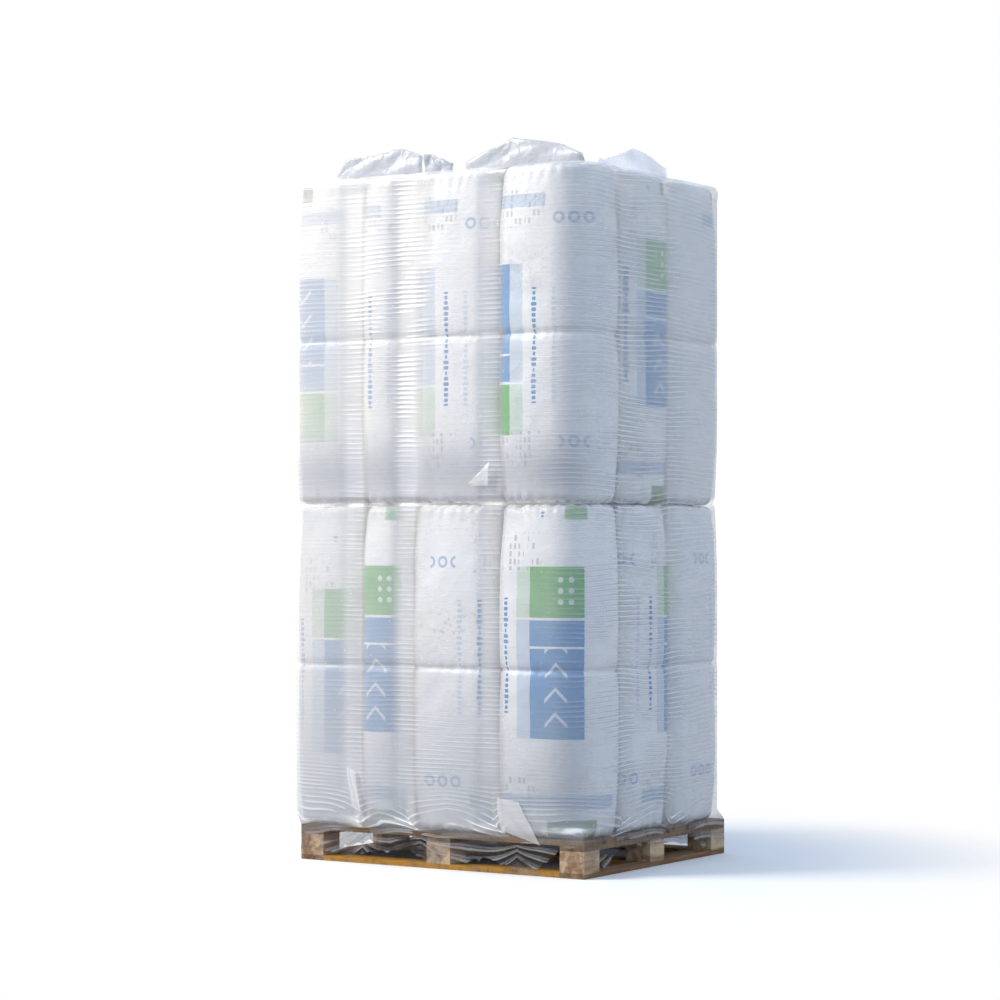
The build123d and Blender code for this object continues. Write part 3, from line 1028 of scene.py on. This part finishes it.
def layer_places(ring, outward, height):
    """How milky the film is on each column at one height, where more layers of it lie over each other."""
    facing_front, facing_right, far_side = facings(outward)
    upper = 1 / (1 + math.exp(-(height - 1.29) / 0.05))
    places = (-0.657, -0.42, -0.36, -0.18, -0.14, -0.07, -0.03, 0.18, 0.25)
    upper_front = np.interp(ring[:, 0], places, (1.1, 1.1, 0.9, 0.8, 1.3, 1.3, 0.5, 0.4, 0.08))
    lower_front = np.interp(ring[:, 0], places, (1.1, 1.0, 0.6, 0.6, 0.5, 0.4, 0.35, 0.3, 0.03))
    front = upper_front * upper + lower_front * (1 - upper)
    right = 0.35 + 0.35 * upper + 0.2 * np.clip(ring[:, 1] / 0.3, -1, 1)
    return np.clip(facing_front * front + facing_right * right + 0.5 * far_side, 0.05, 1.4)


def film_rows(low, high):
    """Rows of the film from the fold's inner edge down: inset from the wall, height, share of the skirt."""
    top = high.z + FILM_GAP
    wall_foot = low.z + WALL_FOOT
    rows = [(FOLD_REACH - (FOLD_REACH - FOLD_TURN) * share, top, 0.0) for share in np.linspace(0, 1, 10)[:-1]]
    for angle in np.radians(np.linspace(0, 90, 9)):
        rows.append((FOLD_TURN * (1 - math.sin(angle)), top - FOLD_TURN * (1 - math.cos(angle)), 0.0))
    rows += [(0.0, z, 0.0) for z in np.linspace(top - FOLD_TURN - 0.006, wall_foot, WALL_ROWS)]
    rows += [(0.0, wall_foot, share) for share in np.linspace(0, 1, SKIRT_ROWS + 1)[1:]]
    return rows


def film_points(settings):
    """Points of the film from its fold down to its torn edge, its attributes, and its rows and columns.

    hold is how strongly ribs show, lift the height that they follow, haze how milky the film is, skirt 1 over
    the pallet, and tone how much painted shade greys the film.
    """
    low, high = load_box()
    centre = ((low.x + high.x) / 2, (low.y + high.y) / 2)
    half = ((high.x - low.x) / 2 + FILM_GAP, (high.y - low.y) / 2 + FILM_GAP)
    ring, outward = corner_ring(centre, half, tuple(OUTER_ROUNDS.values()), FILM_COUNTS)
    deck_low, deck_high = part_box("deck_board_1")
    pallet_half = (deck_high.x + DECK_GAP, -deck_low.y + DECK_GAP)
    pallet_ring, _ = corner_ring((0, 0), pallet_half, (0.012,) * 4, FILM_COUNTS)
    behind = depth_behind(ring, outward)
    dip = settings.valley_dip * (1 - np.exp(-behind / settings.valley_dip))
    seam = (low.z + high.z) / 2
    tier = (high.z - low.z) / 2
    creases = (low.z + tier / 2, high.z - tier / 2)
    edge = torn_edge(pallet_ring, outward)
    valley = np.clip((behind - 0.012) / 0.06, 0, 1)
    free = np.clip((behind - 0.004) / 0.022, 0, 1)
    columns = len(ring)
    lengths, whole = ring_lengths(ring)
    chance = np.random.default_rng(settings.seed)
    knots = np.linspace(0, columns, 40)
    fold_edge = np.interp(np.arange(columns), knots, chance.uniform(-0.02, 0.02, 40), period=columns)

    # How far each column is from the nearest valley, round the ring
    deepest = (behind > np.roll(behind, 1)) & (behind >= np.roll(behind, -1)) & (behind > 0.05)
    apart = np.abs(lengths[:, None] - lengths[deepest][None, :])
    apart = np.minimum(apart, whole - apart).min(axis=1)
    wander = 0.004 * np.sin(lengths / 0.09) + 0.003 * np.sin(lengths / 0.041 + 1.0)

    facing_front, facing_right, far_side = facings(outward)
    over_haze = 0.2 + 0.9 * far_side
    # Painted shade round the front right corner, where the bag turns away from the key lamp
    turned = np.clip((ring[:, 0] - 0.30) / 0.17, 0, 1) * 0.4
    comb_reach = 0.5 * bell(ring[:, 0] + 0.15, 0.08)
    rows = film_rows(low, high)
    points = []
    layers = {key: [] for key in ("hold", "lift", "haze", "skirt", "tone")}
    for inset, z, down in rows:
        near_top = np.clip((high.z - z) / 0.06, 0, 1)
        at_seam = bell(z - seam, 0.014)
        at_crease = max(bell(z - crease, 0.014) for crease in creases)
        drawn_in = 0.008 * bell(z - seam, 0.15) + 0.007 * at_seam + 0.003 * at_crease
        pinch = bell(z - low.z, 0.12) if down == 0 else 1.0
        row_dip = dip * (0.35 + 0.65 * near_top) + drawn_in + 0.014 * valley * pinch
        shift = inset + fold_edge * max(0.0, (inset - 0.04) / 0.045)
        place = ring - outward * (row_dip + shift)[:, None]
        height = np.full(columns, z)
        if inset > 0:
            height = height - 0.006 * valley * (1 - inset / FOLD_REACH)
        if down > 0:
            reach = min(1.0, down / 0.42)
            smooth = reach * reach * (3 - 2 * reach)
            target = pallet_ring - outward * (0.004 * valley)[:, None]
            place = place * (1 - smooth) + target * smooth
            height = z * (1 - down) + edge * down
            loose = np.clip((down - 0.6) / 0.4, 0, 1)
            place = place + outward * (0.005 * loose * np.sin(lengths / 0.021 + 3 * down))[:, None]
        points.append(np.column_stack([place, height]))

        foot = 1.0 if down > 0 else bell(z - low.z, 0.22)
        taut = 0.3 + comb_reach * np.clip((z - 1.4) / 0.2, 0, 1) + 0.3 * facing_right
        strong = np.maximum(rib_places(ring, outward, z), free * taut)
        strong = np.maximum(strong, (0.8 if down > 0 else 0.5) * foot * (1 - 0.7 * far_side))
        layers["hold"].append(strong * (1.0 if inset < FOLD_TURN * 0.7 else 0.15))
        fan = bell(max(z - low.z, 0.0), 0.13)
        radial = np.arctan2(height - (low.z - 0.012), apart + 0.06) * 0.075 + wander
        waves = 0.010 * facing_right * np.sin(9 * ring[:, 1] + 7 * z) * np.sin(5 * z + 2)
        layers["lift"].append((height + waves) * (1 - fan) + (radial + low.z) * fan)
        over_pallet = np.clip((low.z + 0.035 - height) / 0.05, 0, 1)
        veil = layer_places(ring, outward, z) * (1 - 0.75 * at_seam)
        milky = veil + free * (0.28 + 0.42 * facing_front)
        layers["haze"].append(np.clip(milky * (1 - over_pallet) + over_haze * over_pallet, 0, 1.8))
        layers["skirt"].append(over_pallet)
        # Painted shade: the front greys towards the foot of each tier, where the bags face down, and round
        # the corner
        low_tier_shade = bell(z - seam - 0.10, 0.11) + 0.75 * bell(z - low.z - 0.1, 0.38)
        greyed = np.clip(facing_front**2 * (0.6 * low_tier_shade + turned), 0, 1)
        layers["tone"].append(greyed * (1 - over_pallet))
    layers = {key: np.concatenate(values) for key, values in layers.items()}
    return np.concatenate(points), layers, len(rows), columns


def add_torn_flaps(points, faces, layers):
    """Add the torn flaps that lie on the front of the film. Each is given by its corners, as X and height."""
    low, _ = load_box()
    flaps = [
        ((0.245, 0.262), (0.335, 0.250), (0.425, 0.105), (0.262, 0.150)),
        ((0.150, 1.372), (0.215, 1.428), (0.208, 1.345), (0.120, 1.345)),
        ((-0.395, 0.340), (-0.360, 0.330), (-0.330, 0.180), (-0.372, 0.200)),
    ]
    count = 14
    for number, corners in enumerate(flaps):
        top_left, top_right, low_right, low_left = [np.array(corner) for corner in corners]
        grid = []
        for i in range(count):
            up = i / (count - 1)
            left = low_left + (top_left - low_left) * up
            right = low_right + (top_right - low_right) * up
            for j in range(count):
                side = j / (count - 1)
                place = left + (right - left) * side
                curl = 0.006 * abs(math.sin(5.0 * side + 3.0 * up + number))
                lift = 0.0035 + curl * min(1, 3 * min(up, 1 - up) + 0.3)
                grid.append((place[0], low.y - lift, place[1]))
        flap_faces = grid_faces(count, count, closed=False) + len(points)
        points = np.vstack([points, grid])
        faces = np.vstack([faces, flap_faces])
        added = {"turns": 0.1, "strength": 0.2, "haze": 0.9, "skirt": 0.0, "tone": 0.0}
        layers = {key: np.append(layers[key], np.full(count * count, added[key])) for key in FILM_LAYERS}
    return points, faces, layers


class MakeFilm(bpy.types.Operator):
    """Make the stretch film round the load and over the pallet's edge"""

    bl_idname = "wrapped_pallet.make_film"
    bl_label = "Make Film"

    def execute(self, context):
        settings = context.scene.wrapped_pallet.film
        points, attributes, rows, columns = film_points(settings)
        tree = ribs_tree()
        material = film_material(settings)
        faces = grid_faces(rows, columns)[:, ::-1]
        whole = mesh_from("film_whole", points, faces, attributes)
        run_tree(whole, tree, settings, material=material)
        placed = read_all(whole.data.vertices, "co", 3).reshape(rows, columns, 3)
        found = {}
        for key in FILM_LAYERS:
            found[key] = read_all(whole.data.attributes[key].data, "value").reshape(rows, columns)
        bpy.data.objects.remove(whole)

        # The front sheet also covers the forward part of both short sides, and the two meet edge to edge
        begin = -(columns // 8)
        turn = begin + columns // 2
        for name, first, last in (("front", begin, turn), ("back", turn, begin + columns)):
            picked = np.arange(first, last + 1) % columns
            part_points = placed[:, picked].reshape(-1, 3)
            part_faces = grid_faces(rows, len(picked), closed=False)[:, ::-1]
            layers = {key: values[:, picked].ravel() for key, values in found.items()}
            if name == "front":
                part_points, part_faces, layers = add_torn_flaps(part_points, part_faces, layers)
            piece = mesh_from(f"stretch_film_{name}", part_points, part_faces, layers)
            piece.data.materials.append(material)
            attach(piece, "root")
            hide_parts("stretch_film")
        return {"FINISHED"}


# Bag tails


def make_tail(name, top_line, lean, seed, material):
    """One gathered bag end, pressed flat: a thin, creased, closed flap that follows the given top line."""
    low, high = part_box(name)
    size = high - low
    along_x = size.x > size.y
    length = size.x if along_x else size.y
    count = 72
    levels = 18
    chance = np.random.default_rng(seed)
    share = np.linspace(0, 1, count)
    tops = np.interp(share, *zip(*top_line)) * size.z
    tops = tops + np.interp(share, np.linspace(0, 1, 14), chance.normal(0, 0.0022, 14))
    tops = np.clip(tops, 0.004, size.z)
    waves = [(chance.uniform(0.6, 2.6), chance.uniform(0, 6.28), chance.uniform(-1.0, 1.0)) for _ in range(5)]
    layers = []
    for face in (-1, 1):
        grid = []
        for k in range(levels):
            up = k / (levels - 1)
            fold = sum(1 - 2 * np.abs(np.sin(f * share * 3.14 + p + 4.2 * w * up)) for f, p, w in waves) / 3
            depth = lean * up * 0.5 + 0.008 * fold * (0.25 + up)
            half = 0.006 * math.sin(math.pi * min(up * 0.98 + 0.01, 1)) ** 0.5 + 0.0008
            ends = np.clip(np.minimum(share, 1 - share) / 0.04, 0, 1) ** 0.5
            across = depth + face * half * ends
            grid.append(np.column_stack([share * length, across, tops * up]))
        layers.append(np.array(grid))
    front, back = layers
    rows = np.concatenate([front, back[::-1]])
    points = rows.reshape(-1, 3)
    quads = grid_faces(2 * levels, count, closed=False).tolist()
    last = (2 * levels - 1) * count
    quads += [(last + j, last + j + 1, j + 1, j) for j in range(count - 1)]
    for k in range(levels - 1):
        left = [row * count for row in (k, k + 1, 2 * levels - 2 - k, 2 * levels - 1 - k)]
        quads.append(tuple(left[::-1]))
        quads.append(tuple(corner + count - 1 for corner in left))
    middle = (low + high) / 2
    if along_x:
        placed = np.column_stack([low.x + points[:, 0], middle.y + points[:, 1], low.z + points[:, 2]])
    else:
        placed = np.column_stack([middle.x - points[:, 1], low.y + points[:, 0], low.z + points[:, 2]])
    piece = mesh_from(f"loose_{name}", placed, quads, {})
    piece.data.materials.append(material)
    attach(piece, "root")
    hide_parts(name)
    return piece


class MakeTails(bpy.types.Operator):
    """Make the loose, flattened ends of the upper bags on top of the load"""

    bl_idname = "wrapped_pallet.make_tails"
    bl_label = "Make Tails"

    def execute(self, context):
        # Painted shade and light: the front tails get a darker grey copy of the tail film, and the right
        # tail, which faces away from the key lamp, a lighter and clearer copy
        material = tail_material("loose bag film", 0.58, 0.62, 0.85)
        thin = tail_material("thin loose bag film", 0.92, 0.38, 0.6)
        left = [(0, 0.25), (0.1, 0.8), (0.38, 0.85), (0.6, 0.94), (0.76, 1), (0.87, 0.9), (1, 0.72)]
        middle = [(0, 1), (0.31, 0.92), (0.7, 0.64), (0.86, 0.58), (1, 0.44)]
        right = [(0, 0.4), (0.14, 0.58), (0.28, 0.76), (0.41, 1), (0.55, 0.86), (0.81, 0.65)]
        right += [(0.92, 0.42), (1, 0.26)]
        side = [(0, 0.37), (0.17, 0.47), (0.4, 0.82), (0.52, 1), (0.61, 0.97), (0.76, 0.83), (1, 0.52)]
        make_tail("bag_tail_front_left", left, 0.006, 3, material)
        make_tail("bag_tail_front_centre", middle, -0.004, 5, material)
        make_tail("bag_tail_front_right", right, 0.006, 8, material)
        make_tail("bag_tail_right", side, 0.004, 13, thin)
        return {"FINISHED"}


# Timber


class FinishTimber(bpy.types.Operator):
    """Give the pallet's boards and blocks their sawn, weathered finishes, with painted shade on deck boards
    and stringers
    """

    bl_idname = "wrapped_pallet.finish_timber"
    bl_label = "Finish Timber"

    def execute(self, context):
        settings = context.scene.wrapped_pallet.timber
        # Painted shade: the deck boards and stringers get darker tints for the shade of the film and load
        # over them
        deck = timber_material("deck board timber", settings, False, (0.5, 0.44, 0.38), 0.8)
        cross = timber_material("stringer timber", settings, True, (0.5, 0.46, 0.42), 0.8)
        paint = (0.52, 0.25, 0.02)
        base_long = timber_material("base board timber", settings, False, (0.8, 0.72, 0.6), 0.9, paint)
        base_cross = timber_material("end base board timber", settings, True, (0.75, 0.66, 0.55), 0.9)
        block = timber_material("block timber", settings, True, (1.3, 1.3, 1.3), 0.4)
        # The first of these that a node's name starts with is its finish
        finishes = (
            ("deck_board", deck),
            ("stringer", cross),
            ("base_board_left", base_cross),
            ("base_board_right", base_cross),
            ("base_board", base_long),
            ("block", block),
        )
        for name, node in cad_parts.items():
            chosen = next((finish for start, finish in finishes if name.startswith(start)), None)
            for slot in node.material_slots:
                slot.material = chosen or slot.material
        return {"FINISHED"}


# Stage


def backdrop_white(tree):
    """Share that is 1 for light paths that should see the plain white backdrop."""
    path = tree.nodes.new("ShaderNodeLightPath").outputs
    return largest(tree, path["Is Camera Ray"], path["Is Glossy Ray"], path["Is Transmission Ray"])


class MakeStage(bpy.types.Operator):
    """Make the floor, the lamps, the world and the camera"""

    bl_idname = "wrapped_pallet.make_stage"
    bl_label = "Make Stage"

    def execute(self, context):
        settings = context.scene.wrapped_pallet.stage
        scene = context.scene
        corners = np.array([(-1, -1, 0), (1, -1, 0), (1, 1, 0), (-1, 1, 0)]) * FLOOR_HALF - (0, 0, FLOOR_DROP)
        floor = mesh_from("floor", corners, [(0, 1, 2, 3)], {})
        material, tree, shader = new_material("pale floor")
        tone = blend_colour(tree, backdrop_white(tree), (0.2, 0.2, 0.21), (0.86, 0.86, 0.86))
        feed(tree, shader, {"Base Color": tone, "Roughness": 0.9})
        away = length_of(tree, object_place(tree))
        far = product(tree, span(tree, away, 0.85, 2.2), backdrop_white(tree))
        glow = add_node(tree, "ShaderNodeEmission").outputs[0]
        mix = add_node(tree, "ShaderNodeMixShader", inputs={0: far, 1: shader.outputs[0], 2: glow})
        feed(tree, tree.nodes["Material Output"], {"Surface": mix.outputs[0]})
        floor.data.materials.append(material)

        world = bpy.data.worlds.new("studio")
        world.use_nodes = True
        tree = world.node_tree
        colour = blend_colour(tree, backdrop_white(tree), settings.sky, (1.0, 1.0, 1.0))
        feed(tree, tree.nodes["Background"], {"Color": colour})
        scene.world = world

        for name, power, place, size, colour in (
            ("key lamp", settings.key_power, (-4.7, -4.4, 5.7), 3.0, (1.0, 0.92, 0.82)),
            ("fill lamp", settings.fill_power, (8.0, -1.5, 4.0), 5.0, (0.82, 0.91, 1.0)),
        ):
            lamp = bpy.data.lights.new(name, "AREA")
            lamp.energy = power
            lamp.size = size
            lamp.color = colour
            lit = bpy.data.objects.new(name, lamp)
            lit.location = place
            lit.rotation_euler = (Vector((0, 0, 1.2)) - Vector(place)).to_track_quat("-Z", "Y").to_euler()
            scene.collection.objects.link(lit)

        camera = bpy.data.objects.new("camera", bpy.data.cameras.new("camera"))
        camera.data.sensor_width = 36.0
        camera.data.lens = settings.lens
        camera.data.shift_y = settings.lift
        camera.location = settings.camera_place
        camera.rotation_euler = (math.radians(90), 0.0, settings.camera_turn)
        scene.collection.objects.link(camera)
        scene.camera = camera
        scene.view_settings.view_transform = "Standard"
        return {"FINISHED"}


class LoadPanel(bpy.types.Panel):
    """The wrapped pallet's settings and steps"""

    bl_idname = "VIEW3D_PT_wrapped_pallet"
    bl_label = "Wrapped Pallet"
    bl_space_type = "VIEW_3D"
    bl_region_type = "UI"
    bl_category = "Wrapped Pallet"

    def draw(self, context):
        settings = context.scene.wrapped_pallet
        for step, group in STEPS:
            box = self.layout.box()
            box.operator(step.bl_idname)
            chosen = getattr(settings, group) if group else None
            for key in chosen.__annotations__ if chosen else ():
                box.prop(chosen, key)


STEPS = (
    (MakeBags, "bags"),
    (MakeFilm, "film"),
    (MakeTails, None),
    (FinishTimber, "timber"),
    (MakeStage, "stage"),
)
CLASSES = (BagSettings, FilmSettings, TimberSettings, StageSettings, LoadSettings)
CLASSES += tuple(step for step, group in STEPS) + (LoadPanel,)


def register():
    for kind in CLASSES:
        bpy.utils.register_class(kind)
    bpy.types.Scene.wrapped_pallet = PointerProperty(type=LoadSettings)


def unregister():
    del bpy.types.Scene.wrapped_pallet
    for kind in reversed(CLASSES):
        bpy.utils.unregister_class(kind)


def main():
    """Make everything in order."""
    register()
    bpy.ops.wrapped_pallet.make_bags()
    bpy.ops.wrapped_pallet.make_film()
    bpy.ops.wrapped_pallet.make_tails()
    bpy.ops.wrapped_pallet.finish_timber()
    bpy.ops.wrapped_pallet.make_stage()


if __name__ == "__main__":
    main()
